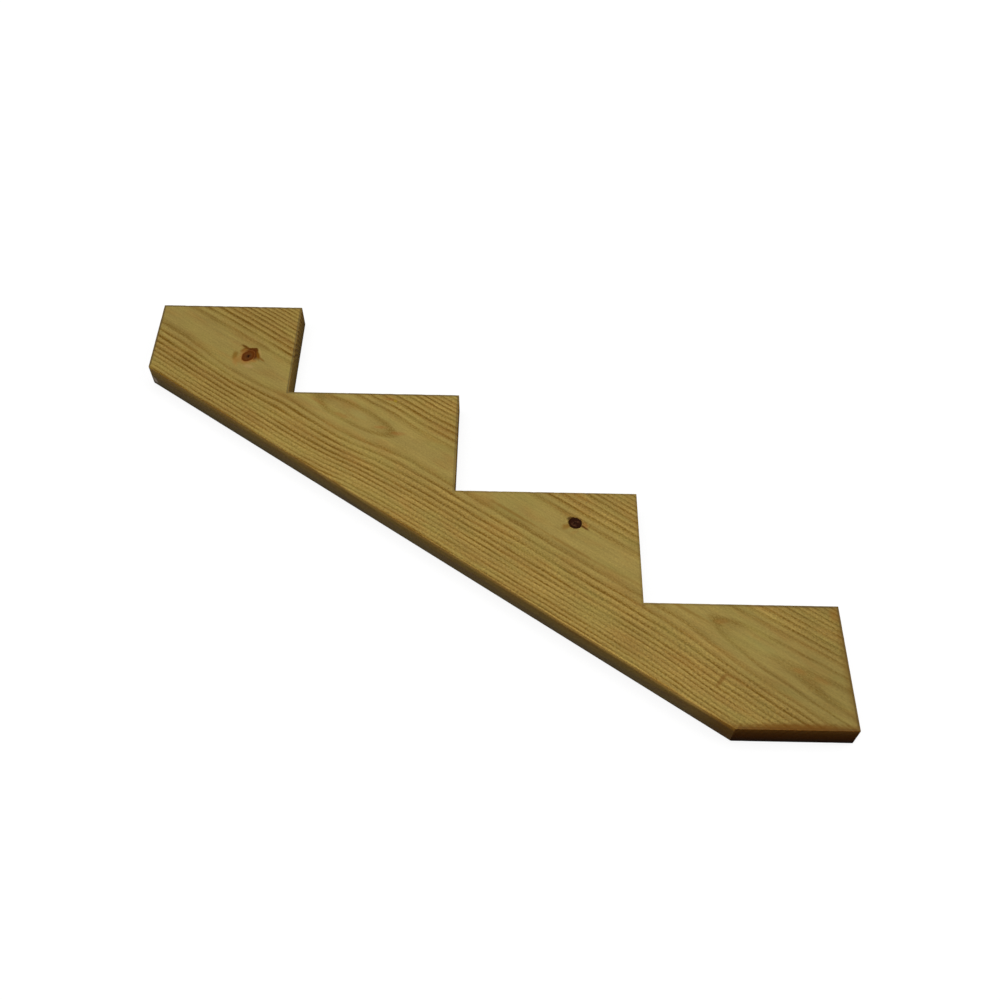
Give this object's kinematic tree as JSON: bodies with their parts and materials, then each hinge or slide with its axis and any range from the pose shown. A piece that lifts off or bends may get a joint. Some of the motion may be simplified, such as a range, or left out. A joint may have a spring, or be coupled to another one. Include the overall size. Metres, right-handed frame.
{
  "type": "stair stringer",
  "caption": "Cut stair stringer: a sawn softwood board whose stepped upper edge carries treads and risers, with a plumb head cut and a level foot cut.",
  "frame": {"origin": "middle of the outline's box, on the broad face that it lies on", "axes": "+X along the treads towards the foot, +Y up the risers, +Z through the board's thickness, upwards as it lies"},
  "size_m": [1.0032, 0.7112, 0.0381],
  "materials": {
    "pine": "planed pressure-treated pine with saw-cut steps and ends"
  },
  "bodies": {
    "root": {"stringer": "pine"}
  },
  "joints": []
}
